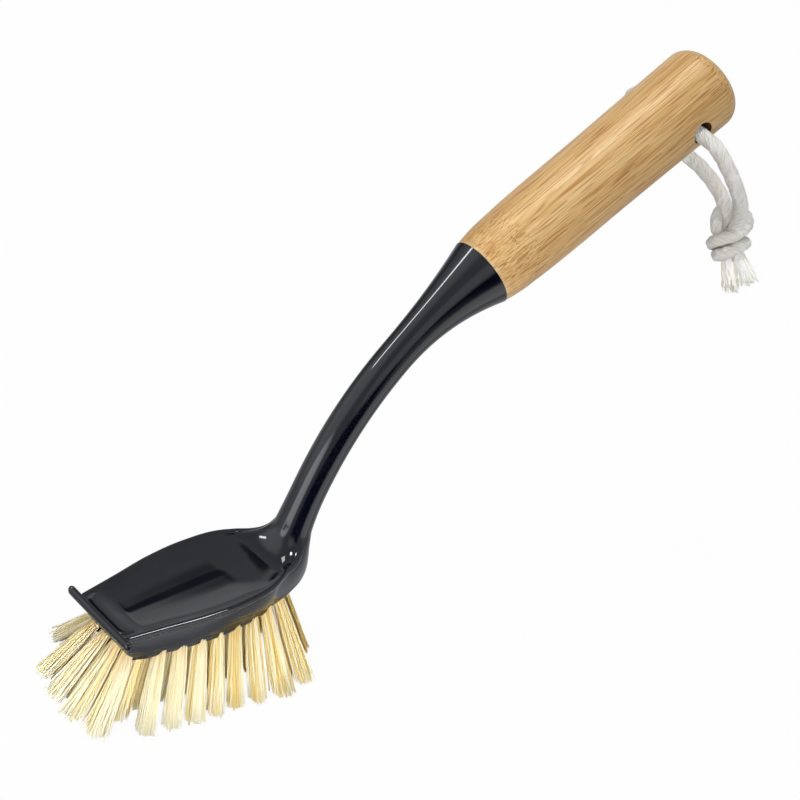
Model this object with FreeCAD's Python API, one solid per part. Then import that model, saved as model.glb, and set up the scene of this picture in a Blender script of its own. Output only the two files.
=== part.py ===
"""Dish brush: a turned bamboo handle on a moulded neck and head, tufts of bristle and a cord to hang it by.

Millimetres. x runs from the scraper at the front of the head towards the handle, y is across the head and
z is up. z = 0 is the plane that the bristles are trimmed to, and the origin is the tip of the one tuft that
stands upright.
"""
import FreeCAD
import Part
import math
import os

V = FreeCAD.Vector

# Head: a leaf-shaped plate, dished on top, with the tuft block under it
BRISTLE_HEIGHT = 25.5
BLOCK_DEPTH = 9.5
PLATE_THICKNESS = 3.0
HEAD_FRONT = -41.5
HEAD_FRONT_HALF_WIDTH = 12.5
HEAD_MIDDLE = 0.5
HEAD_HALF_WIDTH = 17.7
HEAD_SHOULDER = 29.5
HEAD_SHOULDER_HALF_WIDTH = 10.8
HEAD_BACK = 41.5
BLOCK_INSET = 1.2
BLOCK_CHAMFER = 1.5
DISH_RIM = 1.5
DISH_SLOPE = 3.2
DISH_DEPTH = 1.6

# Scraper: a round-edged bar along the front of the plate
SCRAPER_HALF_LENGTH = 16.0
SCRAPER_RADIUS = 1.4
SCRAPER_REACH = 1.0

# Neck: a curve from the back of the head up to the collar, rounded in section
NECK_FOOT_X = 34.0
NECK_FOOT_DEPTH = 7.0
NECK_FOOT_ANGLE = 80.0
NECK_FOOT_PULL = 50.0
NECK_COLLAR_PULL = 42.0
NECK_RUN = 66.8
NECK_RISE = 97.0
NECK_RADIUS = 6.1
NECK_FLATNESS = 0.94
FOOT_FLARE = 2.1
FOOT_FLARE_END = 0.2
COLLAR_RADIUS = 12.5
COLLAR_FLARE_START = 0.65
COLLAR_FLARE_POWER = 2.2
NECK_SECTIONS = 12

# Handle: turned, a little thicker towards its end, glued on the neck's tang
HANDLE_ANGLE = 28.5
HANDLE_LENGTH = 110.0
HANDLE_SHOULDER = 14.0
HANDLE_SWELL_RADIUS = 13.4
HANDLE_SHOULDER_RADIUS = 13.8
HANDLE_END_RADIUS = 15.2
HANDLE_END_ROUND = 6.5
HANDLE_EDGE_BEVEL = 0.5
TANG_RADIUS = 7.0
TANG_LENGTH = 42.0
TANG_CLEARANCE = 0.05
SOCKET_SPACE = 1.5
CORD_HOLE_RADIUS = 4.1
CORD_HOLE_FROM_END = 19.5

# Tufts: folded bundles of bristle, each held at the bottom of its hole by a flat wire anchor
TUFT_RADIUS = 1.95
TUFT_CLEARANCE = 0.05
TUFT_TIP_RADIUS = 3.5
TUFT_DEPTH = 7.0
TUFT_EDGE = 3.3
TUFT_PITCH = 7.2
SIDE_TUFTS = 8
SIDE_TUFTS_AHEAD = 4
INNER_TUFTS = 7
CENTRE_TUFTS = 8
CENTRE_TUFTS_AHEAD = 4
FRONT_TUFTS = 4
FRONT_TUFT_PITCH = 5.8
REAR_TUFTS = 2
REAR_TUFT_PITCH = 9.4
REAR_TUFT_STEP = 4.3
SPLAY_ALONG = 1.2
SPLAY_ACROSS = 1.78
SPLAY_LEAN = 0.33
SPLAY_FRONT = 6.4
SPLAY_REAR = 0.62
ANCHOR_THICKNESS = 0.4
ANCHOR_HEIGHT = 1.6
ANCHOR_BITE = 0.3

# Cord: a soft cotton rope through the handle's end, its two legs tied in one knot with frayed tails. Places
# on it are measured from the middle of the stretch that lies in the hole, on the hole's lower wall.
CORD_DIAMETER = 5.5
CORD_CLEARANCE = 0.3
CORD_ARC_SHARE = 0.45
KNOT_HALF_LENGTH = 9.0
KNOT_RADIUS = 8.3
KNOT_WAIST_RADIUS = 6.6
KNOT_MOUTH_RADIUS = 5.0
KNOT_PLACE = V(27.0, -20.0, -45.0)
KNOT_AXIS = V(0.35, 0.0, -0.937)
TAIL_START_RADIUS = 2.6
TAIL_END_RADIUS = 3.4
TAIL_GRIP = 1.0
TAIL_GAP = 0.8
NEAR_TAIL_END = V(38.0, -27.0, -70.0)
FAR_TAIL_END = V(40.0, -18.0, -76.5)
NEAR_LEG = [
    V(0, -13.0, 0),
    V(0, -17.4, 0),
    V(1.0, -21.7, -1.5),
    V(4.3, -25.6, -7.3),
    V(10.5, -27.8, -16.2),
    V(18.5, -26.9, -26.2),
    V(23.5, -24.6, -34.8),
    V(25.3, -23.2, -40.4),
]
FAR_LEG = [
    V(0, 14.0, 0),
    V(0, 16.4, 0),
    V(0.2, 18.6, -1.0),
    V(0.6, 20.3, -2.7),
    V(1.3, 21.2, -5.0),
    V(2.6, 21.3, -8.1),
    V(4.6, 20.9, -11.4),
    V(7.4, 19.6, -15.0),
    V(11.2, 17.0, -18.6),
    V(17.0, 11.8, -21.3),
    V(22.3, 6.0, -23.7),
    V(26.1, 0.0, -26.9),
    V(28.3, -6.2, -30.7),
    V(29.2, -11.8, -34.8),
    V(28.4, -16.0, -38.7),
    V(27.2, -18.1, -42.3),
]

PLATE_TOP = BRISTLE_HEIGHT + BLOCK_DEPTH + PLATE_THICKNESS
PLATE_UNDERSIDE = BRISTLE_HEIGHT + BLOCK_DEPTH
ACROSS = V(0, 1, 0)
NEARLY_ROUND = 0.9999


def line(start, end):
    return Part.LineSegment(start, end).toShape()


def arc(start, middle, end):
    return Part.Arc(start, middle, end).toShape()


def outline(inset, z):
    """The head's leaf outline at height z, drawn in by inset: straight front, curved sides and round back."""
    back = HEAD_BACK - inset
    side = [
        (HEAD_FRONT + inset, HEAD_FRONT_HALF_WIDTH - inset),
        (HEAD_MIDDLE, HEAD_HALF_WIDTH - inset),
        (HEAD_SHOULDER, HEAD_SHOULDER_HALF_WIDTH - inset),
        (back - NECK_RADIUS / 2, NECK_RADIUS - inset / 2),
    ]
    edges = []
    for sign in (1, -1):
        curve = Part.BSplineCurve()
        curve.interpolate([V(x, sign * y, z) for x, y in side])
        edges.append(curve.toShape())
    (front_x, front_y), (back_x, back_y) = side[0], side[-1]
    nose = arc(V(back_x, back_y, z), V(back, 0, z), V(back_x, -back_y, z))
    front = line(V(front_x, -front_y, z), V(front_x, front_y, z))
    return Part.Wire([front, edges[0], nose, edges[1]])


def half_width(x):
    """Half the plate's width at x, where a line across the head meets the outline."""
    across = line(V(x, 0, 0), V(x, 2 * HEAD_HALF_WIDTH, 0))
    return outline(0, 0).distToShape(across)[1][0][0].y


def handle_direction():
    angle = math.radians(HANDLE_ANGLE)
    return V(math.cos(angle), 0, math.sin(angle))


def collar_centre():
    return V(NECK_FOOT_X + NECK_RUN, 0, PLATE_TOP - NECK_FOOT_DEPTH + NECK_RISE)


def neck_at(share):
    """Point and direction of the neck's curve, a cubic with four control points, at a share of the way up."""
    foot = V(NECK_FOOT_X, 0, PLATE_TOP - NECK_FOOT_DEPTH)
    lean = math.radians(NECK_FOOT_ANGLE)
    low = foot + V(math.cos(lean), 0, math.sin(lean)) * NECK_FOOT_PULL
    collar = collar_centre()
    high = collar - handle_direction() * NECK_COLLAR_PULL
    rest = 1 - share
    point = foot * rest**3 + low * (3 * rest**2 * share) + high * (3 * rest * share**2) + collar * share**3
    slope = (low - foot) * rest**2 + (high - low) * (2 * rest * share) + (collar - high) * share**2
    return point, slope.normalize()


def neck_section(share):
    """The neck's oval section, wider at the foot and opening to the round collar."""
    foot = max(0.0, 1 - share / FOOT_FLARE_END) ** 2
    flare = max(0.0, (share - COLLAR_FLARE_START) / (1 - COLLAR_FLARE_START)) ** COLLAR_FLARE_POWER
    radius = NECK_RADIUS + FOOT_FLARE * foot + (COLLAR_RADIUS - NECK_RADIUS) * flare
    flatness = min(NECK_FLATNESS + (1 - NECK_FLATNESS) * flare, NEARLY_ROUND)
    point, direction = neck_at(share)
    thick = direction.cross(ACROSS)
    oval = Part.Ellipse(point + ACROSS * radius, point + thick * (radius * flatness), point)
    return Part.Wire([oval.toShape()])


def plate():
    """The top plate, with a shallow dish inside its rim and the scraper bar along its front."""
    body = Part.Face(outline(0, PLATE_UNDERSIDE)).extrude(V(0, 0, PLATE_THICKNESS))
    rim = outline(DISH_RIM, PLATE_TOP)
    floor = outline(DISH_RIM + DISH_SLOPE, PLATE_TOP - DISH_DEPTH)
    body = body.cut(Part.makeLoft([rim, floor], True, True))
    middle = V(HEAD_FRONT - SCRAPER_REACH, 0, PLATE_TOP - SCRAPER_RADIUS)
    length = SCRAPER_HALF_LENGTH - SCRAPER_RADIUS
    bar = Part.makeCylinder(SCRAPER_RADIUS, 2 * length, middle - ACROSS * length, ACROSS)
    for sign in (1, -1):
        bar = bar.fuse(Part.makeSphere(SCRAPER_RADIUS, middle + ACROSS * (sign * length)))
    web_start = V(HEAD_FRONT - SCRAPER_REACH, -HEAD_FRONT_HALF_WIDTH, PLATE_UNDERSIDE)
    web_height = PLATE_THICKNESS - SCRAPER_RADIUS / 2
    web = Part.makeBox(SCRAPER_REACH, 2 * HEAD_FRONT_HALF_WIDTH, web_height, web_start)
    return body.fuse([bar, web])


def block():
    """The tuft block, a little inside the plate's edge, its lower edge bevelled for the splayed tufts."""
    levels = [
        outline(BLOCK_INSET, PLATE_UNDERSIDE),
        outline(BLOCK_INSET, BRISTLE_HEIGHT + BLOCK_CHAMFER),
        outline(BLOCK_INSET + BLOCK_CHAMFER, BRISTLE_HEIGHT),
    ]
    return Part.makeLoft(levels, True, True)


def neck():
    sections = [neck_section(i / (NECK_SECTIONS - 1)) for i in range(NECK_SECTIONS)]
    tang = Part.makeCylinder(TANG_RADIUS, TANG_LENGTH, collar_centre(), handle_direction())
    return Part.makeLoft(sections, True).fuse(tang)


def side_tuft_x(i):
    """Where the side rows' tuft number i stands along the head, half a step behind the inner rows."""
    return (i - SIDE_TUFTS_AHEAD) * TUFT_PITCH + TUFT_PITCH / 2


def rear_tuft_x():
    return side_tuft_x(SIDE_TUFTS - 1) + REAR_TUFT_STEP


def tuft_roots():
    """Every tuft's name and the point where its axis leaves the block's underside, row by row."""
    roots = {}
    for row, sign in (("near", -1), ("far", 1)):
        for i in range(SIDE_TUFTS):
            x = side_tuft_x(i)
            roots[f"tuft_{row}_{i + 1}"] = V(x, sign * (half_width(x) - TUFT_EDGE), BRISTLE_HEIGHT)
        for i in range(INNER_TUFTS):
            x = (i - SIDE_TUFTS_AHEAD) * TUFT_PITCH
            roots[f"tuft_inner_{row}_{i + 1}"] = V(x, sign * (half_width(x) - TUFT_EDGE) / 2, BRISTLE_HEIGHT)
    for i in range(CENTRE_TUFTS):
        roots[f"tuft_centre_{i + 1}"] = V((i - CENTRE_TUFTS_AHEAD) * TUFT_PITCH, 0, BRISTLE_HEIGHT)
    for i in range(FRONT_TUFTS):
        y = (i - (FRONT_TUFTS - 1) / 2) * FRONT_TUFT_PITCH
        roots[f"tuft_front_{i + 1}"] = V(HEAD_FRONT + BLOCK_INSET + TUFT_EDGE, y, BRISTLE_HEIGHT)
    for i in range(REAR_TUFTS):
        y = (i - (REAR_TUFTS - 1) / 2) * REAR_TUFT_PITCH
        roots[f"tuft_rear_{i + 1}"] = V(rear_tuft_x(), y, BRISTLE_HEIGHT)
    return roots


def tuft_tip(root):
    """Where the tuft's axis meets the floor: fanned out, more at the ends, leaning ahead at the sides."""
    front = min(root.x, 0) / HEAD_FRONT
    rear = max(root.x, 0) / rear_tuft_x()
    lean = SPLAY_LEAN * abs(root.y) * (1 - root.x / HEAD_FRONT)
    x = root.x * SPLAY_ALONG - SPLAY_FRONT * front ** 2 - lean
    return V(x, root.y * SPLAY_ACROSS * (1 + SPLAY_REAR * rear ** 2), 0)


def tuft_axis(root):
    """Bottom of the tuft's hole, and the direction that its bristles run in."""
    direction = (tuft_tip(root) - root).normalize()
    return root - direction * TUFT_DEPTH, direction


def tuft_hole(root):
    bottom, direction = tuft_axis(root)
    return Part.makeCylinder(TUFT_RADIUS + TUFT_CLEARANCE, TUFT_DEPTH + BLOCK_CHAMFER, bottom, direction)


def anchor(root):
    """A flat wire across the bottom of the hole, longer than the hole is wide, so that it bites the block."""
    bottom, direction = tuft_axis(root)
    length = 2 * (TUFT_RADIUS + TUFT_CLEARANCE + ANCHOR_BITE)
    wire = Part.makeBox(length, ANCHOR_THICKNESS, ANCHOR_HEIGHT)
    wire.translate(V(-length / 2, -ANCHOR_THICKNESS / 2, 0))
    wire.Placement = FreeCAD.Placement(bottom, FreeCAD.Rotation(V(0, 0, 1), direction)) * wire.Placement
    return wire


def tuft(root):
    """A bundle that fills its hole, spreads to its tip and is trimmed flat, slotted for its anchor."""
    bottom, direction = tuft_axis(root)
    plug = Part.makeCylinder(TUFT_RADIUS, TUFT_DEPTH, bottom, direction)
    spread = BRISTLE_HEIGHT / -direction.z
    grow = (TUFT_TIP_RADIUS - TUFT_RADIUS) / spread
    reach = spread + 2 * TUFT_TIP_RADIUS
    fan = Part.makeCone(TUFT_RADIUS, TUFT_RADIUS + grow * reach, reach, root, direction)
    below = 4 * (HEAD_BACK - HEAD_FRONT)
    trim = Part.makeBox(below, below, below, V(-below / 2, -below / 2, -below))
    return plug.fuse(fan).cut([trim, anchor(root)]).removeSplitter()


def brush_head(roots):
    body = plate().fuse([block(), neck()])
    return body.cut([tuft_hole(root) for root in roots.values()])


def handle_placement():
    turn = FreeCAD.Rotation(V(0, 1, 0), -HANDLE_ANGLE)
    return FreeCAD.Placement(collar_centre(), turn)


def cord_hole_centre():
    return collar_centre() + handle_direction() * (HANDLE_LENGTH - CORD_HOLE_FROM_END)


def on_cord(place):
    """A place on the cord, in the frame of the brush."""
    lie = CORD_HOLE_RADIUS - CORD_DIAMETER / 2 - CORD_CLEARANCE
    return cord_hole_centre() + V(0, 0, -lie) + place


def handle():
    """A turned bar: bevelled at the collar, swelling to a shoulder, then a slow taper to a rounded end."""
    end_x = HANDLE_LENGTH - HANDLE_END_ROUND
    end_z = HANDLE_END_RADIUS - HANDLE_END_ROUND
    corner = HANDLE_END_ROUND * math.sqrt(0.5)
    face = V(0, 0, COLLAR_RADIUS - HANDLE_EDGE_BEVEL)
    bevel = V(HANDLE_EDGE_BEVEL, 0, COLLAR_RADIUS)
    swell = V(HANDLE_SHOULDER / 2, 0, HANDLE_SWELL_RADIUS)
    shoulder = V(HANDLE_SHOULDER, 0, HANDLE_SHOULDER_RADIUS)
    round_start = V(end_x, 0, HANDLE_END_RADIUS)
    round_middle = V(end_x + corner, 0, end_z + corner)
    round_end = V(HANDLE_LENGTH, 0, end_z)
    tip = V(HANDLE_LENGTH, 0, 0)
    profile = Part.Wire([
        line(V(0, 0, 0), face),
        line(face, bevel),
        arc(bevel, swell, shoulder),
        line(shoulder, round_start),
        arc(round_start, round_middle, round_end),
        line(round_end, tip),
        line(tip, V(0, 0, 0)),
    ])
    bar = Part.Face(profile).revolve(V(0, 0, 0), V(1, 0, 0), 360)
    socket_depth = TANG_LENGTH + SOCKET_SPACE
    socket = Part.makeCylinder(TANG_RADIUS + TANG_CLEARANCE, socket_depth, V(0, 0, 0), V(1, 0, 0))
    hole_start = V(HANDLE_LENGTH - CORD_HOLE_FROM_END, -2 * HANDLE_END_RADIUS, 0)
    hole = Part.makeCylinder(CORD_HOLE_RADIUS, 4 * HANDLE_END_RADIUS, hole_start, ACROSS)
    bar = bar.cut([socket, hole])
    bar.Placement = handle_placement()
    return bar


def rounded_path(name, points):
    """Straight runs joined by tangent arcs, each as large as its two runs allow."""
    edges = []
    last = points[0]
    radii = []
    for before, point, after in zip(points, points[1:], points[2:]):
        into = (point - before).normalize()
        out = (after - point).normalize()
        half_turn = into.getAngle(out) / 2
        setback = CORD_ARC_SHARE * min(point.distanceToPoint(before), point.distanceToPoint(after))
        radius = setback / math.tan(half_turn)
        start = point - into * setback
        end = point + out * setback
        inward = (out - into).normalize()
        middle = point + inward * (radius / math.cos(half_turn) - radius)
        edges.append(line(last, start))
        edges.append(arc(start, middle, end))
        radii.append(round(radius, 1))
        last = end
    edges.append(line(last, points[-1]))
    print(name, "bend radii", radii)
    return Part.Wire(edges)


def cord_tube(name, points):
    path = rounded_path(name, points)
    ring = Part.Wire([Part.Circle(points[0], points[1] - points[0], CORD_DIAMETER / 2).toShape()])
    tube = path.makePipeShell([ring], True, False)
    section = math.pi * CORD_DIAMETER**2 / 4
    fill = tube.Volume / (section * path.Length)
    print(name, "length", round(path.Length, 1), "volume over section times length", round(fill, 6))
    return tube


def cord_in_handle():
    """The straight stretch of cord in the handle's cross hole, between the two legs."""
    start = on_cord(FAR_LEG[0])
    end = on_cord(NEAR_LEG[0])
    return Part.makeCylinder(CORD_DIAMETER / 2, start.distanceToPoint(end), start, end - start)


def cord_knot():
    """Two wraps pulled tight round the legs: a barrel with a waist."""
    top = V(0, 0, -KNOT_HALF_LENGTH)
    bottom = V(0, 0, KNOT_HALF_LENGTH)
    upper_mouth = V(KNOT_MOUTH_RADIUS, 0, -KNOT_HALF_LENGTH)
    upper_wrap = V(KNOT_RADIUS, 0, -KNOT_HALF_LENGTH / 2)
    waist = V(KNOT_WAIST_RADIUS, 0, 0)
    lower_wrap = V(KNOT_RADIUS, 0, KNOT_HALF_LENGTH / 2)
    lower_mouth = V(KNOT_MOUTH_RADIUS, 0, KNOT_HALF_LENGTH)
    profile = Part.Wire([
        line(top, upper_mouth),
        arc(upper_mouth, upper_wrap, waist),
        arc(waist, lower_wrap, lower_mouth),
        line(lower_mouth, bottom),
        line(bottom, top),
    ])
    knot = Part.Face(profile).revolve(V(0, 0, 0), V(0, 0, 1), 360)
    knot.Placement = FreeCAD.Placement(on_cord(KNOT_PLACE), FreeCAD.Rotation(V(0, 0, 1), KNOT_AXIS))
    return knot


def cord_tail(end):
    """A frayed end, spreading from inside the knot's lower mouth."""
    side = 1 if end.y > KNOT_PLACE.y else -1
    mouth = KNOT_PLACE + KNOT_AXIS * (KNOT_HALF_LENGTH - TAIL_GRIP)
    start = mouth + ACROSS * (side * (TAIL_START_RADIUS + TAIL_GAP / 2))
    length = start.distanceToPoint(end)
    return Part.makeCone(TAIL_START_RADIUS, TAIL_END_RADIUS, length, on_cord(start), end - start)


def build():
    roots = tuft_roots()
    pieces = {"handle": handle(), "brush_head": brush_head(roots)}
    for name, root in roots.items():
        pieces[name] = tuft(root)
    pieces["tuft_anchors"] = Part.Compound([anchor(root) for root in roots.values()])
    pieces["cord_in_handle"] = cord_in_handle()
    for name, leg in (("cord_leg_near", NEAR_LEG), ("cord_leg_far", FAR_LEG)):
        pieces[name] = cord_tube(name, [on_cord(place) for place in leg])
    pieces["cord_knot"] = cord_knot()
    pieces["cord_tail_near"] = cord_tail(NEAR_TAIL_END)
    pieces["cord_tail_far"] = cord_tail(FAR_TAIL_END)
    return pieces


os.makedirs("parts", exist_ok=True)
for node, shape in build().items():
    shape.exportStep(f"parts/{node}.step")
    if not shape.isValid() or shape.Volume <= 0:
        print("check the shape of", node)
print("collar", collar_centre(), "cord hole", cord_hole_centre())
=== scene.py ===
import bpy
import numpy as np
from mathutils import Matrix, Quaternion, Vector


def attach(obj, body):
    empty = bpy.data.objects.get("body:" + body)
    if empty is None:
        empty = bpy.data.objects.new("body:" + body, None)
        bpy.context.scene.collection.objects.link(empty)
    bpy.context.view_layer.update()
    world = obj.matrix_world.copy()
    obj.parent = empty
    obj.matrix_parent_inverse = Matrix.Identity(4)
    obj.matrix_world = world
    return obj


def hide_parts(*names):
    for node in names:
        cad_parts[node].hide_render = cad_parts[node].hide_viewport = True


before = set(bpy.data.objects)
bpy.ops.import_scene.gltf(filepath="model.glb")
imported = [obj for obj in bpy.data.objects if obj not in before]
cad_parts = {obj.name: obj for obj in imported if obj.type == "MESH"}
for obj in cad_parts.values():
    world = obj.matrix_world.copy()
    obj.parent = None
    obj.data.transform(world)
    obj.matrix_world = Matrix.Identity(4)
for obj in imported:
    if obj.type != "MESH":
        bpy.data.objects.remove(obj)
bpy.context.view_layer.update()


# BRUSH HEAD. One glossy black moulding: a dished leaf-shaped plate over the tuft block, flowing up into the
# round neck and its collar. Made as one loft, the section turning from leaf to oval as it climbs. Its tang is
# glued into the handle.
def through(known, values, places):
    """Cubic curve through known values: Hermite pieces whose slopes are the gradients of the values."""
    known, values, places = (np.asarray(given, float) for given in (known, values, places))
    slopes = np.gradient(values, known, axis=0)
    i = np.clip(np.searchsorted(known, places, side="right") - 1, 0, len(known) - 2)
    spread = (...,) + (None,) * (values.ndim - 1)
    step = (known[i + 1] - known[i])[spread]
    t = ((places - known[i]) / (known[i + 1] - known[i]))[spread]
    start = (1 + 2 * t) * (1 - t) ** 2 * values[i] + t * (1 - t) ** 2 * step * slopes[i]
    end = t * t * (3 - 2 * t) * values[i + 1] - t * t * (1 - t) * step * slopes[i + 1]
    return start + end


def ease(x):
    """Smooth step from 0 to 1: three squares less two cubes of x held between 0 and 1."""
    x = np.clip(x, 0, 1)
    return x * x * (3 - 2 * x)


def piece(name, points, faces, material, body, sharp=40):
    """A mesh object from points in millimetres, smooth but for edges sharper than the angle, on a body."""
    mesh = bpy.data.meshes.new(name)
    mesh.from_pydata((np.asarray(points, float).reshape(-1, 3) / 1000).tolist(), [], faces)
    mesh.shade_smooth()
    mesh.set_sharp_from_angle(angle=np.radians(sharp))
    mesh.materials.append(material)
    made = bpy.data.objects.new(name, mesh)
    bpy.context.scene.collection.objects.link(made)
    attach(made, body)
    return made


def rings(count, size, first=0):
    """Faces between neighbouring rings of points, each ring closed on itself."""
    i, j = np.meshgrid(np.arange(count - 1), np.arange(size), indexing="ij")
    a = i * size + j
    b = i * size + (j + 1) % size
    return (np.stack([a, b, b + size, a + size], -1).reshape(-1, 4) + first).tolist()


def paint(red, green, blue):
    """A screen colour of 0 to 255 as the linear colour of a shader socket."""
    share = np.array([red, green, blue]) / 255
    return (*np.where(share > 0.04045, ((share + 0.055) / 1.055) ** 2.4, share / 12.92), 1)


def finish(name, roughness):
    """A new material, its node tree, its shader and the object's own coordinates."""
    made = bpy.data.materials.new(name)
    made.use_nodes = True
    tree = made.node_tree
    shader = tree.nodes["Principled BSDF"]
    shader.inputs["Roughness"].default_value = roughness
    return made, tree, shader, tree.nodes.new("ShaderNodeTexCoord").outputs["Object"]


def noise(tree, where, scale, stretch=(1, 1, 1), turn=0.0, detail=3.0, roughness=0.5):
    """Noise at places turned about Y and then stretched, from 0 to 1."""
    mapped = tree.nodes.new("ShaderNodeMapping")
    mapped.vector_type = "TEXTURE"
    mapped.inputs["Rotation"].default_value = (0, turn, 0)
    mapped.inputs["Scale"].default_value = stretch
    tree.links.new(where, mapped.inputs["Vector"])
    made = tree.nodes.new("ShaderNodeTexNoise")
    made.inputs["Scale"].default_value = scale
    made.inputs["Detail"].default_value = detail
    made.inputs["Roughness"].default_value = roughness
    tree.links.new(mapped.outputs["Vector"], made.inputs["Vector"])
    return made.outputs["Fac"]


def ramp(tree, share, *stops):
    """Colours along a scale: each stop is its place from 0 to 1 and its colour."""
    made = tree.nodes.new("ShaderNodeValToRGB")
    while len(made.color_ramp.elements) < len(stops):
        made.color_ramp.elements.new(1.0)
    for element, (place, colour) in zip(made.color_ramp.elements, stops):
        element.position = place
        element.color = colour
    tree.links.new(share, made.inputs["Fac"])
    return made.outputs["Color"]


def bump(tree, shader, height, depth, strength=1.0):
    """Small relief on a shader: the height from 0 to 1 times the depth in metres."""
    made = tree.nodes.new("ShaderNodeBump")
    made.inputs["Distance"].default_value = depth
    made.inputs["Strength"].default_value = strength
    tree.links.new(height, made.inputs["Height"])
    tree.links.new(made.outputs["Normal"], shader.inputs["Normal"])


black, tree, shader, place = finish("black_plastic", 0.16)
mottle = noise(tree, place, 55.0)
ink = ramp(tree, mottle, (0.3, (0.0009, 0.0013, 0.0050, 1)), (0.7, (0.003, 0.0036, 0.0075, 1)))
tree.links.new(ink, shader.inputs["Base Color"])
sheen = ramp(tree, mottle, (0.3, (0.05, 0.05, 0.05, 1)), (0.8, (0.10, 0.10, 0.10, 1)))
tree.links.new(sheen, shader.inputs["Roughness"])
bump(tree, shader, noise(tree, place, 34.0, detail=1.0), 0.0010, 0.2)

PLATE_TOP = 38.0
PLATE_STATIONS = [-41.5, -26.5, -11.5, 3.5, 18.5, 29.5]
PLATE_HALF_WIDTHS = [12.5, 14.75, 17.1, 17.75, 15.75, 10.4]
FRONT = PLATE_STATIONS[0]
FRONT_ROUND = 1.3
DISH_DEPTH = 2.3
RIM_DEPTH = 3.0
SECTION_DEPTH = 12.5
BLOCK_FOOT = 23.4
TURN = 21.0
NECK_HULL = np.array([(34.0, 31.0), (42.68, 80.24), (63.9, 107.96), (100.8, 128.0)])
NECK_RADIUS = 6.1
FOOT_FLARE = 2.1
COLLAR_FLARE = 6.4


def neck_path(t):
    """Centre, front normal and radius of the neck: a cubic Bezier curve, flared at its foot and collar."""
    a, b, c, d = NECK_HULL
    t = np.asarray(t, float)[:, None]
    centre = (1 - t) ** 3 * a + 3 * t * (1 - t) ** 2 * b + 3 * t * t * (1 - t) * c + t ** 3 * d
    along = (1 - t) ** 2 * (b - a) + 2 * t * (1 - t) * (c - b) + t * t * (d - c)
    along /= np.linalg.norm(along, axis=1, keepdims=True)
    t = t[:, 0]
    foot = FOOT_FLARE * np.maximum(0, 1 - t / 0.2) ** 2
    collar = COLLAR_FLARE * np.maximum(0, (t - 0.65) / 0.35) ** 2.2
    return centre, np.stack([-along[:, 1], along[:, 0]], 1), NECK_RADIUS + foot + collar


def head_sections():
    """Top point, bottom point, half width, dish depth and share of oval of every section, front to collar."""
    x = np.concatenate([FRONT + FRONT_ROUND * (1 - np.cos(np.linspace(0, np.pi / 2, 8))),
                        np.linspace(FRONT + FRONT_ROUND, TURN, 64)[1:]])
    level = np.ones_like(x)
    wide = through(PLATE_STATIONS, PLATE_HALF_WIDTHS, x)
    before = np.minimum(0, x - FRONT - FRONT_ROUND)
    wide -= FRONT_ROUND - np.sqrt(np.maximum(FRONT_ROUND ** 2 - before ** 2, 0))
    dish = DISH_DEPTH * ease((x - FRONT - 0.8) / 9) * (1 - 0.55 * ease((x - 6) / (TURN - 6)))
    q = np.linspace(0, 1, 33)[1:]
    t = np.linspace(0.09, 1, 76)
    centre, normal, radius = neck_path(t)
    flat = 0.94 + 0.06 * ease((t - 0.6) / 0.4)
    front = centre + normal * (radius * flat)[:, None]
    back = centre - normal * (radius * flat)[:, None]
    slope = (front[1] - front[0]) / (front[1] - front[0])[1]
    corner = front[0] - slope * (front[0][1] - PLATE_TOP)
    p = q[:, None]
    rise = (1 - p) ** 2 * np.array([TURN, PLATE_TOP]) + 2 * p * (1 - p) * corner + p * p * front[0]
    heel = np.array([(TURN, BLOCK_FOOT), (32.4, 23.5), (37.2, 24.4), (40.5, 27.2), (41.9, 31.4), (42.3, 36.5),
                     back[0]])
    run = np.concatenate([[0], np.cumsum(np.linalg.norm(np.diff(heel, axis=0), axis=1))])
    fall = through(run, heel, q * run[-1])
    top = np.concatenate([np.stack([x, PLATE_TOP * level], 1), rise, front[1:]])
    bottom = np.concatenate([np.stack([x, BLOCK_FOOT * level], 1), fall, back[1:]])
    turn_wide = through([0, 0.25, 0.5, 0.75, 1], [wide[-1], 13.1, 11.4, 8.9, radius[0]], q)
    half = np.concatenate([wide, turn_wide, radius[1:]])
    hollow = np.concatenate([dish, dish[-1] * (1 - ease(q / 0.9)), 0 * t[1:]])
    oval = np.concatenate([0 * x, ease((q - 0.1) / 0.9), 0 * t[1:] + 1])
    return top, bottom, half, hollow, oval


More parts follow.
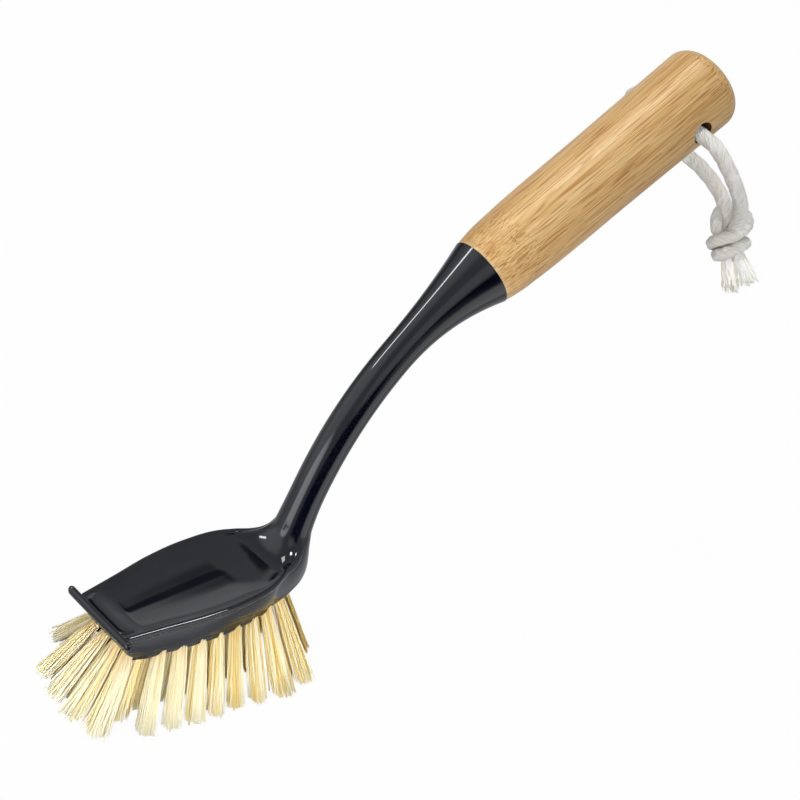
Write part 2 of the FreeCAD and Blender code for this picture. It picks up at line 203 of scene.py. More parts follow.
def head_loft(per_gap=4):
    """Points on every section's ring: a spline through the leaf section's corners mixed with an oval."""
    top, bottom, half, hollow, oval = (np.asarray(part, float) for part in head_sections())
    w, d, flat = half, hollow, np.zeros_like(half)
    across = np.stack([flat, 0.45 * w, 0.75 * w, w - 2.1, w - 0.9, w - 0.15, w, w - 0.2, w - 1.1, w - 0.9,
                       w - 1.1, w - 1.6, w - 2.3, 0.5 * w, flat], 1)
    wall = [0.4, 0, 0.5, 1.4, 2.3, 2.8, 3.5, 6.6, 9.8, 12.0, SECTION_DEPTH, SECTION_DEPTH]
    down = np.stack([d, 0.80 * d, 0.46 * d] + [flat + fall for fall in wall], 1)
    angle = np.radians([0, 22, 42, 56, 64, 71, 78, 85, 92, 99, 116, 132, 146, 163, 180])
    depth = np.linalg.norm(top - bottom, axis=1)
    corners = np.arange(len(angle))
    places = np.linspace(0, corners[-1], corners[-1] * per_gap + 1)
    across = through(corners, across.T, places).T
    down = through(corners, down.T, places).T
    angle = through(corners, angle, places)
    stretch = ((depth - RIM_DEPTH) / (SECTION_DEPTH - RIM_DEPTH))[:, None]
    down = np.where(down > RIM_DEPTH, RIM_DEPTH + (down - RIM_DEPTH) * stretch, down)
    round_across = half[:, None] * np.sin(angle)
    round_down = depth[:, None] / 2 * (1 - np.cos(angle))
    across += (round_across - across) * oval[:, None]
    down += (round_down - down) * oval[:, None]
    across[:, [0, -1]] = 0
    upward = (top - bottom) / depth[:, None]
    x = top[:, :1] - upward[:, :1] * down
    z = top[:, 1:] - upward[:, 1:] * down
    back_set = through([0, 2.3, 3.2, 7.0, 10.5, 12.0, SECTION_DEPTH], [0, 0, 1.2, 2.4, 4.2, 5.8, 6.6],
                       np.clip(down, 0, SECTION_DEPTH))
    back_set = back_set * (0.55 + 0.45 * (across / half[:, None]) ** 2)
    x = x + back_set * (1 - ease((x - FRONT) / 12))
    near = np.stack([x, -across, z], -1)
    far = np.stack([x, across, z], -1)[:, -2:0:-1]
    return np.concatenate([near, far], 1)


def cap(size, first, outward):
    """Faces that close a mirrored ring: strips from each point to its mirror image."""
    j = np.arange(1, size // 2 - 1)
    strips = np.stack([j, j + 1, size - j - 1, size - j], 1) + first
    ends = np.array([[0, 1, size - 1], [size // 2 - 1, size // 2, size // 2 + 1]]) + first
    return [list(face[::outward]) for face in strips.tolist() + ends.tolist()]


loft = head_loft()
sections, ring = loft.shape[:2]
head = piece("brush_head_moulding", loft,
             rings(sections, ring) + cap(ring, 0, -1) + cap(ring, (sections - 1) * ring, 1),
             black, "brush", sharp=50)
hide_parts("brush_head")


# SCRAPER LIP. A rounded bar of the same black plastic across the front edge of the plate, its ends standing
# past the corners. Made as a swept oval with round ends, moulded on the head.
LIP_X = -42.2
LIP_Z = 36.7
LIP_NEAR = -14.2
LIP_FAR = 15.6
LIP_END = 1.8
LIP_HALF_THICK = 1.2
LIP_HALF_TALL = 1.75
LIP_SIDES = 32


def closed(count, size):
    """Faces of a row of rings with both ends capped."""
    return rings(count, size) + [list(range(size))[::-1], list(range((count - 1) * size, count * size))]


def lip():
    """Rings of a bar along Y, bowed as a parabola: an oval that shrinks to the ends as a quarter circle."""
    turn = np.linspace(0, 2 * np.pi, LIP_SIDES, endpoint=False)
    bow = np.linspace(-np.pi / 2, np.pi / 2, 15)
    y = np.concatenate([LIP_NEAR + LIP_END * np.sin(bow[:8]), np.linspace(LIP_NEAR, LIP_FAR, 24)[1:-1],
                        LIP_FAR + LIP_END * np.sin(bow[7:])])
    size = np.concatenate([np.cos(bow[:8]), np.ones(22), np.cos(bow[7:])])
    size = np.maximum(size, 0.02)[:, None]
    x = LIP_X + LIP_HALF_THICK * size * np.cos(turn) + 0.0006 * (y ** 2)[:, None]
    z = LIP_Z + LIP_HALF_TALL * size * np.sin(turn)
    return np.stack([x, np.repeat(y[:, None], LIP_SIDES, 1), z], -1)


bar = lip()
scraper = piece("scraper_lip", bar, closed(len(bar), LIP_SIDES), black, "brush", sharp=60)


# BRISTLE TUFTS. Bundles of cream nylon filament, one per hole of the block, splayed out to the trimmed tips.
# Each is a mesh of thin four-sided rods, and is held in its hole by a wire anchor.
TUFT_TOP = 25.5
TUFT_SUNK = 4.0
TUFT_RADIUS = 1.7
RODS = 62
ROD_RADIUS = 0.31
ROD_RINGS = 4
ROD_SIDES = 4
ROD_POINTS = ROD_RINGS * ROD_SIDES
EVEN_TURN = 2.399963
ROW_STEP = 7.2
EDGE_GAP = 3.3
FRONT_ROW = -37.0
FRONT_STEP = 5.8
REAR_ROW = 29.5
REAR_STEP = 9.4
ROD_ENDS = [[13, 14, 15, 12], [3, 2, 1, 0]]


def blend(tree, way, first, second, share=1.0):
    """Two colours blended in a way, by a share that is a number or a node's value."""
    made = tree.nodes.new("ShaderNodeMix")
    made.data_type = "RGBA"
    made.blend_type = way
    if isinstance(share, float):
        made.inputs["Factor"].default_value = share
    else:
        tree.links.new(share, made.inputs["Factor"])
    tree.links.new(first, made.inputs["A"])
    tree.links.new(second, made.inputs["B"])
    return made.outputs["Result"]


cream, tree, shader = finish("bristle", 0.42)[:3]
spread = tree.nodes.new("ShaderNodeSeparateXYZ")
tree.links.new(tree.nodes["Texture Coordinate"].outputs["UV"], spread.inputs["Vector"])
tint = ramp(tree, spread.outputs["X"], (0.0, paint(254, 250, 230)), (0.4, paint(255, 254, 244)),
            (0.75, paint(249, 239, 190)), (1.0, paint(237, 215, 138)))
# Painted shade: the bristle colour darkens towards the roots, where the block shades the tufts.
painted_root_shade = ramp(tree, spread.outputs["Y"], (0.0, paint(228, 204, 156)), (0.3, paint(250, 244, 226)),
             (1.0, paint(255, 255, 252)))
colour = blend(tree, "MULTIPLY", tint, painted_root_shade)
tree.links.new(colour, shader.inputs["Base Color"])
glow = tree.nodes.new("ShaderNodeBsdfTranslucent")
tree.links.new(colour, glow.inputs["Color"])
both = tree.nodes.new("ShaderNodeMixShader")
both.inputs["Fac"].default_value = 0.28
tree.links.new(shader.outputs["BSDF"], both.inputs[1])
tree.links.new(glow.outputs["BSDF"], both.inputs[2])
rays = tree.nodes.new("ShaderNodeLightPath")
clear = tree.nodes.new("ShaderNodeBsdfTransparent")
clear.inputs["Color"].default_value = (1.0, 0.89, 0.60, 1)
let_through = tree.nodes.new("ShaderNodeMath")
let_through.operation = "MULTIPLY"
let_through.inputs[1].default_value = 0.55
tree.links.new(rays.outputs["Is Shadow Ray"], let_through.inputs[0])
passed = tree.nodes.new("ShaderNodeMixShader")
tree.links.new(let_through.outputs["Value"], passed.inputs["Fac"])
tree.links.new(both.outputs["Shader"], passed.inputs[1])
tree.links.new(clear.outputs["BSDF"], passed.inputs[2])
tree.links.new(passed.outputs["Shader"], tree.nodes["Material Output"].inputs["Surface"])


def far_corner(x, y):
    """How near a tuft's root is to the far front corner of the block, from 0 to 1."""
    return ease((-x - 5) / 20) * ease((y - 8.5) / 3)


def filaments(root, tip, chance):
    """Rods from a small disc at the root to a wider one at the tip: lines bowed by half a sine wave."""
    share = np.sqrt((np.arange(RODS) + 0.5) / RODS)
    turn = np.arange(RODS) * EVEN_TURN + chance.uniform(0, 6.28)
    disc = np.stack([share * np.cos(turn), share * np.sin(turn), 0 * turn], 1)
    x, y = root[:2]
    wide = 3.1 + 1.6 * ease((-x - 22) / 12) + 1.1 * ease((x - 8) / 14) + 1.5 * far_corner(x, y)
    reach = wide * disc * chance.uniform(0.88, 1.12, (RODS, 1))
    along = (tip - root) / TUFT_TOP
    start = root + TUFT_RADIUS * disc - TUFT_SUNK * along
    end = tip + reach + chance.normal(0, 0.22, (RODS, 3)) * (1, 1, 0)
    end += (end - start) * chance.uniform(-0.045, -0.012, (RODS, 1))
    steps = np.linspace(0, 1, ROD_RINGS)
    bow = chance.normal(0, 0.35, (RODS, 1, 3)) * np.sin(np.pi * steps)[:, None]
    line = start[:, None] + (end - start)[:, None] * steps[:, None] + bow
    lean = chance.uniform(0, 6.28, (RODS, 1, 1)) + np.arange(ROD_SIDES)[:, None] * 2 * np.pi / ROD_SIDES
    first = np.cross(end - start, (0, 1, 0))
    first /= np.linalg.norm(first, axis=1, keepdims=True)
    second = np.cross(end - start, first)
    second /= np.linalg.norm(second, axis=1, keepdims=True)
    side = ROD_RADIUS * (np.cos(lean) * first[:, None] - np.sin(lean) * second[:, None])
    return line[:, :, None] + side[:, None]


def tuft_piece(name, root, tip, seed):
    """One tuft. Its UV holds each rod's golden tone, deeper towards the rear and deeper on the inner rows as
    painted shade, and the share of its length.
    """
    chance = np.random.default_rng(seed)
    rods = filaments(np.array(root), np.array(tip), chance)
    faces = []
    for first in range(0, RODS * ROD_POINTS, ROD_POINTS):
        faces += [face[::-1] for face in rings(ROD_RINGS, ROD_SIDES, first)]
        faces += [[first + corner for corner in end] for end in ROD_ENDS]
    made = piece(name, rods, faces, cream, "brush", sharp=180)
    corners = np.zeros(len(made.data.loops), int)
    made.data.loops.foreach_get("vertex_index", corners)
    x, y = root[:2]
    # Painted shade: rods on the inner rows get a deeper gold, standing in for the shade between the tufts.
    inside = ease((8 - abs(y)) / 2) * ease((x + 36) / 5)
    gold_and_shade = np.clip(0.4 * ease((x + 30) / 50) + 0.3 * inside + chance.uniform(0, 0.75, RODS), 0, 1)
    length_share = corners // ROD_SIDES % ROD_RINGS / (ROD_RINGS - 1)
    layer = made.data.uv_layers.new(name="rods")
    layer.data.foreach_set("uv", np.stack([gold_and_shade[corners // ROD_POINTS], length_share], 1).ravel())
    return made


def side_row(x):
    """How far the side rows stand from the middle: the plate's half width less the gap to its edge."""
    return float(through(PLATE_STATIONS, PLATE_HALF_WIDTHS, x)) - EDGE_GAP


def tuft_roots():
    """Name and root of every tuft: side and centre rows, then the inner rows, the front and the rear."""
    roots = {}
    for i in range(8):
        x = (i - 4) * ROW_STEP
        between = x + ROW_STEP / 2
        roots[f"tuft_near_{i + 1}"] = (between, -side_row(between))
        roots[f"tuft_far_{i + 1}"] = (between, side_row(between))
        roots[f"tuft_centre_{i + 1}"] = (x, 0.0)
    for i in range(7):
        x = (i - 4) * ROW_STEP
        roots[f"tuft_inner_near_{i + 1}"] = (x, -side_row(x) / 2)
        roots[f"tuft_inner_far_{i + 1}"] = (x, side_row(x) / 2)
    for i in range(4):
        roots[f"tuft_front_{i + 1}"] = (FRONT_ROW, (i - 1.5) * FRONT_STEP)
    for i in range(2):
        roots[f"tuft_rear_{i + 1}"] = (REAR_ROW, (i - 0.5) * REAR_STEP)
    return roots


def tuft_tip(x, y):
    """Where a tuft meets the floor: fanned out, more at both ends, the front row trained to the far side."""
    lean = 0.33 * abs(y) * (1 - x / FRONT)
    front_row = ease((-x - 30) / 7)
    rear = (max(x, 0) / REAR_ROW) ** 2
    corner = far_corner(x, y)
    aside = 1.78 * y * (1 + 0.45 * corner + 0.9 * rear) + 3.0 * front_row
    ahead = 1.2 * x + 2.5 * rear - 6.4 * (min(x, 0) / FRONT) ** 2 - lean + 2.5 * corner
    return ahead + 4.5 * front_row * (aside / 18.5) ** 2, aside, 0.0


for seed, (node, (x, y)) in enumerate(tuft_roots().items()):
    made = tuft_piece(node + "_filaments", (x, y, TUFT_TOP), tuft_tip(x, y), seed)
    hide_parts(node)


# TUFT ANCHORS. Flat steel wires across the folded bundles, deep in the holes of the block. They are the CAD
# pieces with a drawn steel finish, and are driven into the plastic.
steel, tree, shader, place = finish("anchor_wire", 0.35)
shader.inputs["Metallic"].default_value = 1.0
drawn = noise(tree, place, 900.0, stretch=(1, 6, 1))
wire = ramp(tree, drawn, (0.2, paint(150, 148, 142)), (0.8, paint(196, 194, 188)))
tree.links.new(wire, shader.inputs["Base Color"])
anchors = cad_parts["tuft_anchors"]
anchors.data.materials.clear()
anchors.data.materials.append(steel)


# HANDLE. A turned and sanded bamboo bar with a rounded end, glued over the neck's tang. Made as a surface of
# revolution, with the cross hole for the cord bored out of it and its mouths eased.
LEAN = np.radians(28.5)
JOINT = np.array([100.8, 0.0, 128.0])
ALONG = np.array([np.cos(LEAN), 0.0, np.sin(LEAN)])
HANDLE_LENGTH = 110.0
HANDLE_SIDES = 144
END_RADIUS = 15.2
END_ROUND = 6.5
SHOULDER = HANDLE_LENGTH - END_ROUND
HOLE_AT = JOINT + 90.5 * ALONG
HOLE_RADIUS = 3.9
HOLE_SIDES = 96

bamboo, tree, shader, place = finish("bamboo", 0.32)
grain = dict(turn=-LEAN)
tone = ramp(tree, noise(tree, place, 130.0, (16, 1, 1), **grain), (0.30, paint(213, 174, 117)),
            (0.52, paint(224, 188, 132)), (0.72, paint(232, 201, 149)))
fibre = noise(tree, place, 2500.0, (110, 1, 1), detail=3.0, roughness=0.6, **grain)
fine = ramp(tree, fibre, (0.34, paint(212, 184, 146)), (0.52, paint(248, 241, 230)),
            (0.66, paint(255, 255, 255)))
dash = ramp(tree, noise(tree, place, 2000.0, (24, 1, 1), detail=0.0, **grain), (0.60, paint(255, 255, 255)),
            (0.70, paint(184, 143, 94)))
surface = blend(tree, "MULTIPLY", blend(tree, "MULTIPLY", tone, fine), dash, 0.6)
along = tree.nodes.new("ShaderNodeMapping")
along.vector_type = "TEXTURE"
along.inputs["Location"].default_value = JOINT / 1000
along.inputs["Rotation"].default_value = (0, -LEAN, 0)
along.inputs["Scale"].default_value = [HANDLE_LENGTH / 1000] * 3
tree.links.new(place, along.inputs["Vector"])
split = tree.nodes.new("ShaderNodeSeparateXYZ")
tree.links.new(along.outputs["Vector"], split.inputs["Vector"])
none, full = (0, 0, 0, 1), (1, 1, 1, 1)
band = ramp(tree, split.outputs["X"], (0.05, none), (0.11, full), (0.19, none), (0.47, none),
            (0.51, (0.3, 0.3, 0.3, 1)), (0.56, none))
fleck = ramp(tree, noise(tree, place, 2600.0, (4.0, 1, 1), detail=1.0, **grain), (0.58, paint(255, 255, 255)),
             (0.70, paint(182, 138, 90)))
flecked = blend(tree, "MULTIPLY", surface, fleck, band)
rim = ramp(tree, split.outputs["X"], (0.0, paint(160, 148, 120)), (0.006, paint(125, 114, 92)), (0.011, none))
tree.links.new(blend(tree, "SCREEN", flecked, rim), shader.inputs["Base Color"])
bump(tree, shader, fibre, 0.00016, 0.6)
shader.inputs["Specular Tint"].default_value = paint(255, 242, 214)


def turned(stations, radii, origin, axis, side, other, count):
    """Rings about an axis: each point is the origin, its station along the axis and its radius round it."""
    turn = np.linspace(0, 2 * np.pi, count, endpoint=False)
    spoke = np.cos(turn)[:, None] * side + np.sin(turn)[:, None] * other
    return origin + stations[:, None, None] * axis + radii[:, None, None] * spoke


# Painted shade: the walls of the cord hole are painted dark brown, standing in for the shade in the hole
# round the cord.
shaded_bore, tree, shader, place = finish("bore_painted_shade", 0.8)
bore_shade = ramp(tree, noise(tree, place, 900.0, (1, 4, 1)), (0.3, paint(66, 46, 28)), (0.7, paint(96, 68, 42)))
tree.links.new(bore_shade, shader.inputs["Base Color"])

straight = np.linspace(1.5, SHOULDER, 130)
rounding = np.linspace(0, np.pi / 2, 22)[1:]
stations = np.concatenate([[0, 0, 0.12, 0.35, 0.8], straight, SHOULDER + END_ROUND * np.sin(rounding),
                           [HANDLE_LENGTH, HANDLE_LENGTH]])
grip = through([0.8, 7, 14, 60, SHOULDER], [12.5, 13.4, 13.8, 14.52, END_RADIUS], straight)
radii = np.concatenate([[4.0, 11.8, 12.1, 12.3, 12.45], grip, END_RADIUS - END_ROUND * (1 - np.cos(rounding)),
                        [6.0, 2.0]])
across = np.array([0.0, 1.0, 0.0])
upright = np.cross(ALONG, across)
skin = turned(stations, radii, JOINT, ALONG, across, upright, HANDLE_SIDES)
handle = piece("bamboo_handle", skin, closed(len(stations), HANDLE_SIDES), bamboo, "brush")
depth = np.linspace(-22, 22, 89)
mouth = HOLE_RADIUS + 0.05 * np.maximum(0, np.abs(depth) - 12.6) ** 1.5
drill = turned(depth, mouth, HOLE_AT, across, upright, ALONG, HOLE_SIDES)
cutter = piece("cord_hole", drill, closed(len(depth), HOLE_SIDES), shaded_bore, "brush")
bore = handle.modifiers.new("cord_hole", "BOOLEAN")
bore.operation = "DIFFERENCE"
bore.material_mode = "TRANSFER"
bore.object = cutter
bpy.context.view_layer.update()
bored = bpy.data.meshes.new_from_object(handle.evaluated_get(bpy.context.evaluated_depsgraph_get()))
handle.modifiers.clear()
handle.data = bored
handle.data.set_sharp_from_angle(angle=np.radians(40))
bpy.data.objects.remove(cutter)
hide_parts("handle")


# CORD. Soft white twisted cotton rope, through the hole and down both sides of the handle. Each leg is a
# lobed tube, its three strands turning along the line of a spline; the stretch in the hole joins them.
CORD_RADIUS = 2.75
CORD_PITCH = 19.0
CORD_LOBE = 0.10
CORD_SIDES = 40
CORD_STEP = 0.45
SEAT = HOLE_AT - np.array([0.0, 0.0, 1.05])
NEAR_LEG = [(0, -13.0, 0), (0, -17.4, 0), (1.0, -21.7, -1.5), (4.3, -25.6, -7.3), (10.5, -27.8, -16.2),
            (18.5, -26.9, -26.2), (23.5, -24.6, -34.8), (25.3, -23.2, -40.4)]
FAR_LEG = [(0, 14.0, 0), (0, 15.4, 0), (0.1, 16.9, -0.6), (0.4, 18.1, -2.0), (1.0, 18.9, -4.4),
           (2.3, 19.1, -7.7), (4.5, 19.1, -11.3), (7.4, 18.6, -15.0), (11.2, 16.7, -18.6),
           (17.0, 11.8, -21.3), (22.3, 6.0, -23.7), (26.1, 0.0, -26.9), (28.3, -6.2, -30.7),
           (29.2, -11.8, -34.8), (28.4, -16.0, -38.7), (27.2, -18.1, -42.3)]

cotton, tree, shader = finish("cotton_cord", 0.85)[:3]
laid = tree.nodes.new("ShaderNodeAttribute")
laid.attribute_name = "lay"
yarn = noise(tree, laid.outputs["Vector"], 4.2, (1, 1, 1.5), detail=5.0, roughness=0.62)
raw_white = ramp(tree, yarn, (0.30, paint(214, 205, 176)), (0.47, paint(246, 244, 238)),
                 (0.62, paint(253, 253, 252)))
tree.links.new(raw_white, shader.inputs["Base Color"])
bump(tree, shader, yarn, 0.0014, 1.0)
shader.inputs["Sheen Weight"].default_value = 0.3


def spline_points(name, points):
    """Points along a NURBS spline of order three through its ends, in millimetres."""
    curve = bpy.data.curves.new(name, "CURVE")
    curve.dimensions = "3D"
    spline = curve.splines.new("NURBS")
    spline.points.add(len(points) - 1)
    for control, point in zip(spline.points, points):
        control.co = (*(np.array(point) / 1000), 1.0)
    spline.order_u = 3
    spline.use_endpoint_u = True
    spline.resolution_u = 16
    holder = bpy.data.objects.new(name, curve)
    line = bpy.data.meshes.new_from_object(holder)
    found = np.zeros(len(line.vertices) * 3)
    line.vertices.foreach_get("co", found)
    bpy.data.objects.remove(holder)
    bpy.data.curves.remove(curve)
    bpy.data.meshes.remove(line)
    return found.reshape(-1, 3) * 1000


def even(points, step):
    """The same line at even steps: cubic curves through the points by the distance run along them."""
    run = np.concatenate([[0], np.cumsum(np.linalg.norm(np.diff(points, axis=0), axis=1))])
    kept = np.concatenate([[True], np.diff(run) > 1e-6])
    places = np.linspace(0, run[-1], max(4, int(run[-1] / step)))
    return through(run[kept], np.asarray(points)[kept], places), places


def carried(line):
    """Two normals at each point of a line, carried along it with no twist."""
    ahead = np.gradient(line, axis=0)
    ahead /= np.linalg.norm(ahead, axis=1, keepdims=True)
    side = np.cross(ahead[0], (0.31, 0.52, 0.79))
    sides = []
    for direction in ahead:
        side = side - direction * (side @ direction)
        side = side / np.linalg.norm(side)
        sides.append(side)
    sides = np.array(sides)
    return sides, np.cross(ahead, sides)


def keep_lay(made, lay):
    """A place on the twisted yarns for every point of a mesh, as its attribute "lay"."""
    kept = made.data.attributes.new("lay", "FLOAT_VECTOR", "POINT")
    kept.data.foreach_set("vector", lay.astype(np.float32).ravel())


def rope(name, points, radius, pitch=CORD_PITCH, lobe=CORD_LOBE):
    """A rope along a line: its radius dips between three strands, which turn once in each pitch."""
    line, run = even(points, CORD_STEP)
    first, second = carried(line)
    turn = np.linspace(0, 2 * np.pi, CORD_SIDES, endpoint=False)
    strand = turn - 2 * np.pi * run[:, None] / pitch
    swell = radius * (1 - lobe * (1 - np.abs(np.cos(1.5 * strand)) ** 0.6))
    spoke = np.cos(turn)[:, None] * first[:, None] + np.sin(turn)[:, None] * second[:, None]
    skin = line[:, None] + swell[..., None] * spoke
    made = piece(name, skin, closed(len(line), CORD_SIDES), cotton, "hang_loop", sharp=70)
    run_along = np.repeat(run[:, None] / 10, CORD_SIDES, 1)
    keep_lay(made, np.stack([np.cos(strand), np.sin(strand), run_along], -1))
    return made, line


near_points = spline_points("near_line", SEAT + np.array(NEAR_LEG))
far_points = spline_points("far_line", SEAT + np.array(FAR_LEG))
hole_points = SEAT + np.linspace(NEAR_LEG[0][1], FAR_LEG[0][1], 12)[:, None] * (0, 1, 0)
near, near_line = rope("cord_near", near_points, CORD_RADIUS)
far, far_line = rope("cord_far", far_points, CORD_RADIUS)
inner = rope("cord_in_hole", hole_points, CORD_RADIUS)[0]
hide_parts("cord_leg_near")
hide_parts("cord_leg_far")
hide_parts("cord_in_handle")


# KNOT. The same rope, pulled tight round both legs: a strand down the left, and two slanting turns below it.
# Made as one rope along a line through listed places, with the two legs running on inside it.
KNOT = SEAT + np.array([27.0, -20.0, -45.0])
TO_RIGHT = np.array([0.733, -0.6536, 0.1886])
TO_TOP = np.array([0.2788, 0.5416, 0.7931])
TO_FRONT = np.array([-0.6205, -0.5287, 0.5792])


def seen(right, top, front):
    """A place on the knot, in millimetres to its right, top and front."""
    return KNOT + right * TO_RIGHT + top * TO_TOP + front * TO_FRONT


def laid_rope(name, places, radius, pitch, lobe):
    """A rope through places on the knot, on a cubic curve."""
    line = np.array([seen(*place) for place in places])
    smooth = through(np.arange(len(line)), line, np.linspace(0, len(line) - 1, 400))
    return rope(name, smooth, radius, pitch, lobe)[0]


TURNS = [(-2.6, -1.5, 1.5), (-4.0, 1.0, 3.0), (-4.5, 4.2, 2.6), (-3.6, 7.4, 0.8), (-1.2, 9.4, -2.4),
         (2.4, 9.9, -3.6), (5.4, 8.4, -2.0), (6.6, 5.6, 1.4), (5.9, 3.0, 4.6), (4.0, 1.2, 6.9),
         (0.8, -0.6, 7.9), (-2.8, -1.8, 6.6), (-5.2, -2.4, 3.2), (-5.4, -3.0, -1.0), (-2.6, -3.4, -4.6),
         (1.8, -3.2, -5.2), (5.0, -2.8, -2.8), (5.8, -2.9, 1.2), (4.2, -3.9, 4.8), (1.0, -5.6, 6.2),
         (-2.4, -6.9, 5.0), (-4.0, -7.2, 1.6), (-2.6, -7.0, -1.8), (0.6, -6.6, -2.4)]
NEAR_CORE = [(1.7, 2.4, 5.2), (1.7, 0.0, 5.0), (1.8, -2.5, 4.2), (2.4, -5.5, 2.8), (3.4, -8.8, 1.8)]
FAR_CORE = [(-2.0, 4.2, 0.4), (-1.8, 1.5, 0.6), (-1.4, -1.5, 0.6), (-0.9, -5.0, 0.4), (-0.2, -9.0, 0.2)]
CORE_RADIUS = 2.6
knot = laid_rope("cord_knot_turns", TURNS, radius=2.4, pitch=10.0, lobe=0.20)
near_core = laid_rope("cord_knot_near_core", NEAR_CORE, CORE_RADIUS, CORD_PITCH, CORD_LOBE)
far_core = laid_rope("cord_knot_far_core", FAR_CORE, CORE_RADIUS, CORD_PITCH, CORD_LOBE)
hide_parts("cord_knot")


# TAILS. The cut ends of the rope below the knot, untwisted into loose yarns. Each is a bundle of thin wavy
# yarns that spreads from the knot.
YARN_RADIUS = 0.62
YARN_RINGS = 10
YARN_SIDES = 5
YARN_POINTS = YARN_RINGS * YARN_SIDES
TAIL_RADIUS = 1.9


def tail(name, start, end, wide, count, seed):
    """Yarns from a small disc to a wider one: tubes along lines with a sine wave that grows to the end."""
    chance = np.random.default_rng(seed)
    share = np.sqrt((np.arange(count) + 0.5) / count)
    turn = np.arange(count) * EVEN_TURN
    ahead = (end - start) / np.linalg.norm(end - start)
    first = np.cross(ahead, (0.2, 0.9, 0.3))
    first /= np.linalg.norm(first)
    second = np.cross(ahead, first)
    disc = share[:, None] * (np.cos(turn)[:, None] * first + np.sin(turn)[:, None] * second)
    reach = chance.uniform(0.80, 1.04, (count, 1))
    steps = np.linspace(0, 1, YARN_RINGS)[:, None]
    spread = TAIL_RADIUS + (wide - TAIL_RADIUS) * steps ** 1.3
    swing = chance.normal(0, 0.35, (count, 1, 3))
    wave = swing * np.sin(3.0 * np.pi * steps + chance.uniform(0, 6, (count, 1, 1)))
    line = start + (end - start) * steps * reach[:, None] + spread * disc[:, None] + wave * steps
    round_turn = np.linspace(0, 2 * np.pi, YARN_SIDES, endpoint=False)
    spoke = np.cos(round_turn)[:, None] * first + np.sin(round_turn)[:, None] * second
    thick = (YARN_RADIUS * (1 - 0.55 * steps ** 3))[None, :, :, None]
    tubes = line[:, :, None] + thick * spoke
    faces = []
    for base in range(0, count * YARN_POINTS, YARN_POINTS):
        faces += [[base + corner for corner in face] for face in closed(YARN_RINGS, YARN_SIDES)]
    made = piece(name, tubes, faces, cotton, "hang_loop", sharp=180)
    keep_lay(made, np.stack([np.cos(turn), np.sin(turn), share], 1)[:, None] * np.ones((1, YARN_POINTS, 1)))
    return made


tail_near = tail("cord_tail_yarns_near", seen(3.2, -7.4, 1.6), seen(7.4, -17.4, 1.6),
                 wide=3.5, count=44, seed=101)
tail_far = tail("cord_tail_yarns_far", seen(-0.2, -8.0, 0.2), seen(1.2, -20.2, 0.2),
                wide=3.1, count=48, seed=102)
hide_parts("cord_tail_near")
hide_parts("cord_tail_far")


# STUDIO. A plain white floor and surround, a soft key above, a strip and a small edge light that the plastic
# mirrors, a fill, a low light on the bristles and a fill for the cord alone. Patches of the surround give the
# plastic its light and dark reflections, and the camera stands where the photograph's did.
def soft_light(name, place, aim, wide, high, power, roll=0.0):
    """An area light at a place, turned to an aim and rolled about that line by an angle in degrees."""
    lamp = bpy.data.lights.new(name, "AREA")
    lamp.shape = "RECTANGLE"
    lamp.size = wide
    lamp.size_y = high
    lamp.energy = power
    made = bpy.data.objects.new(name, lamp)
    made.location = place
    turned_to = (made.location - Vector(aim)).to_track_quat("Z", "Y")
    made.rotation_euler = (turned_to @ Quaternion((0, 0, 1), np.radians(roll))).to_euler()
    bpy.context.scene.collection.objects.link(made)
    return made


soft_light("key", (0.05, 0.27, 1.25), aim=(0.12, 0.0, 0.14), wide=0.40, high=0.40, power=5.2)
soft_light("strip", (-0.405, 0.68, 0.65), aim=(0.095, 0.0, 0.12), wide=0.085, high=0.30, power=1.4, roll=40.5)
edge = soft_light("edge", (0.42, -0.83, 0.80), aim=(0.0, 0.0, 0.04), wide=0.24, high=0.26, power=5.6)
edge.visible_diffuse = False
shiny_pieces = bpy.data.collections.new("shiny_pieces")
shiny_pieces.objects.link(head)
shiny_pieces.objects.link(scraper)
edge.light_linking.receiver_collection = shiny_pieces
fill = soft_light("fill", (-0.80, -0.80, 0.75), aim=(0.05, 0.0, 0.05), wide=0.80, high=0.80, power=1.2)
fill.visible_glossy = False
low = soft_light("low", (-0.42, -0.48, 0.13), aim=(-0.02, 0.0, 0.012), wide=0.40, high=0.20, power=0.34)
low.data.spread = np.radians(36)
low.visible_glossy = False

cord_fill = soft_light("cord_fill", (-0.10, -0.75, 0.50), aim=KNOT / 1000, wide=0.50, high=0.50, power=2.0)
cord_pieces = bpy.data.collections.new("cord_pieces")
for part in (near, far, inner, knot, near_core, far_core, tail_near, tail_far):
    cord_pieces.objects.link(part)
cord_fill.light_linking.receiver_collection = cord_pieces

floor_mesh = bpy.data.meshes.new("floor")
floor_mesh.from_pydata([(-4, -4, 0), (4, -4, 0), (4, 4, 0), (-4, 4, 0)], [], [(0, 1, 2, 3)])
floor = bpy.data.objects.new("floor", floor_mesh)
bpy.context.scene.collection.objects.link(floor)
paper = bpy.data.materials.new("floor_paper")
paper.use_nodes = True
tree = paper.node_tree
tree.nodes.clear()
rays = tree.nodes.new("ShaderNodeLightPath")
matt = tree.nodes.new("ShaderNodeBsdfDiffuse")
matt.inputs["Color"].default_value = (0.45, 0.45, 0.45, 1)
glow = tree.nodes.new("ShaderNodeEmission")
glow.inputs["Strength"].default_value = 1.02
lit = tree.nodes.new("ShaderNodeMixShader")
lit.inputs["Fac"].default_value = 0.95
chosen = tree.nodes.new("ShaderNodeMixShader")
output = tree.nodes.new("ShaderNodeOutputMaterial")
tree.links.new(matt.outputs["BSDF"], lit.inputs[1])
tree.links.new(glow.outputs["Emission"], lit.inputs[2])
tree.links.new(rays.outputs["Is Camera Ray"], chosen.inputs["Fac"])
tree.links.new(matt.outputs["BSDF"], chosen.inputs[1])
tree.links.new(lit.outputs["Shader"], chosen.inputs[2])
tree.links.new(chosen.outputs["Shader"], output.inputs["Surface"])
floor_mesh.materials.append(paper)
floor.visible_glossy = False

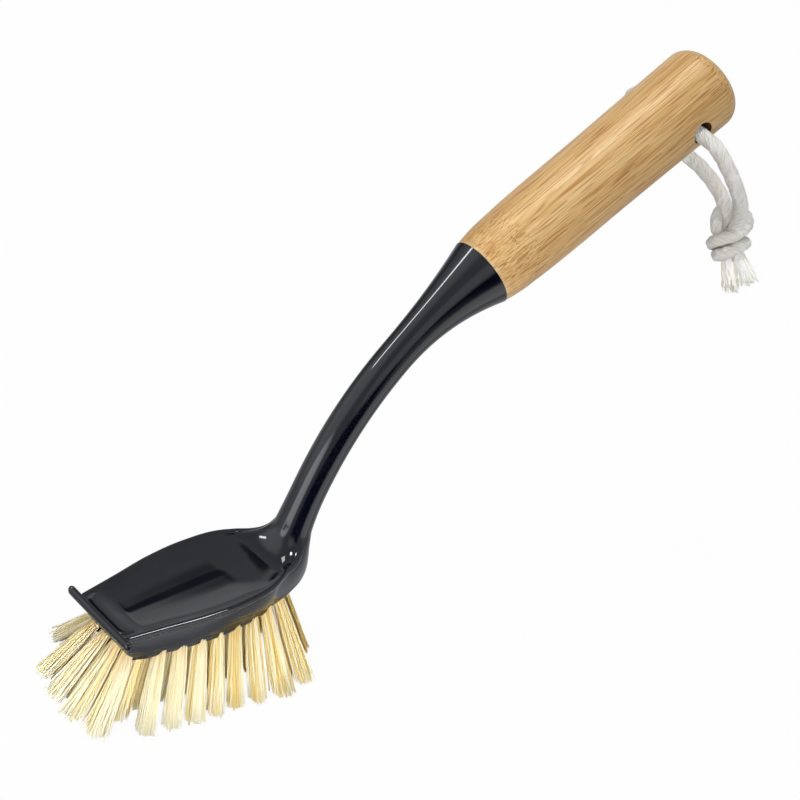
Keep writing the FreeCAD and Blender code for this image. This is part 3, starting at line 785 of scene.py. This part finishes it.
world = bpy.data.worlds.new("surround")
world.use_nodes = True
bpy.context.scene.world = world
tree = world.node_tree
rays = tree.nodes.new("ShaderNodeLightPath")
heading = tree.nodes.new("ShaderNodeTexCoord").outputs["Generated"]


def patch(direction, outer, inner, low, high):
    """Smooth patch of the surround round a direction: low outside the outer angle, high inside the inner."""
    turn = tree.nodes.new("ShaderNodeVectorMath")
    turn.operation = "DOT_PRODUCT"
    turn.inputs[1].default_value = np.array(direction) / np.linalg.norm(direction)
    tree.links.new(heading, turn.inputs[0])
    made = tree.nodes.new("ShaderNodeMapRange")
    made.interpolation_type = "SMOOTHSTEP"
    made.inputs["From Min"].default_value = np.cos(np.radians(outer))
    made.inputs["From Max"].default_value = np.cos(np.radians(inner))
    made.inputs["To Min"].default_value = low
    made.inputs["To Max"].default_value = high
    tree.links.new(turn.outputs["Value"], made.inputs["Value"])
    return made.outputs["Result"]


def together(operation, first, second):
    """Two values of the surround, added or multiplied."""
    made = tree.nodes.new("ShaderNodeMath")
    made.operation = operation
    tree.links.new(first, made.inputs[0])
    tree.links.new(second, made.inputs[1])
    return made.outputs["Value"]


# Each patch: how it joins the others, its direction, its outer and inner angle, its value outside and inside.
PATCHES = [
    ("ADD", (0.25, -0.85, -0.45), 30, 12, 0.0, 0.9),
    ("MULTIPLY", (-0.5, -0.85, -0.15), 34, 18, 1.0, 0.02),
    ("ADD", (0.53, 0.68, 0.50), 10, 5, 0.0, 0.6),
    ("MULTIPLY", (0.53, 0.54, 0.65), 7, 2.5, 1.0, 0.15),
    ("MULTIPLY", (0.12, 0.99, 0.0), 20, 8, 1.0, 0.35),
    ("ADD", (-0.52, -0.70, 0.48), 22, 8, 0.0, 0.5),
    ("MULTIPLY", (-0.29, -0.935, 0.19), 6, 4, 1.0, 0.1),
    ("ADD", (-0.99, 0.06, -0.08), 22, 10, 0.0, 3.2),
]
mirrored = patch((-0.7, 0.5, 0.35), 42, 16, 0.6, 1.4)
for operation, *spot in PATCHES:
    mirrored = together(operation, mirrored, patch(*spot))
dim = tree.nodes["Background"]
dim.inputs["Color"].default_value = (1, 1, 1, 1)
dim.inputs["Strength"].default_value = 0.48
gloss = tree.nodes.new("ShaderNodeBackground")
gloss.inputs["Color"].default_value = (0.97, 0.98, 1.0, 1)
tree.links.new(mirrored, gloss.inputs["Strength"])
white = tree.nodes.new("ShaderNodeBackground")
white.inputs["Color"].default_value = (1, 1, 1, 1)
white.inputs["Strength"].default_value = 1.0
shiny = tree.nodes.new("ShaderNodeMixShader")
tree.links.new(rays.outputs["Is Glossy Ray"], shiny.inputs["Fac"])
tree.links.new(dim.outputs["Background"], shiny.inputs[1])
tree.links.new(gloss.outputs["Background"], shiny.inputs[2])
chosen = tree.nodes.new("ShaderNodeMixShader")
tree.links.new(rays.outputs["Is Camera Ray"], chosen.inputs["Fac"])
tree.links.new(shiny.outputs["Shader"], chosen.inputs[1])
tree.links.new(white.outputs["Background"], chosen.inputs[2])
tree.links.new(chosen.outputs["Shader"], tree.nodes["World Output"].inputs["Surface"])

lens = bpy.data.cameras.new("camera")
lens.sensor_width = 36.0
lens.lens = 102.08
camera = bpy.data.objects.new("camera", lens)
camera.location = (-0.39981, -0.40503, 0.52701)
camera.rotation_euler = Matrix((TO_RIGHT, TO_TOP, TO_FRONT)).transposed().to_euler()
bpy.context.scene.collection.objects.link(camera)
bpy.context.scene.camera = camera
bpy.context.scene.view_settings.view_transform = "Standard"
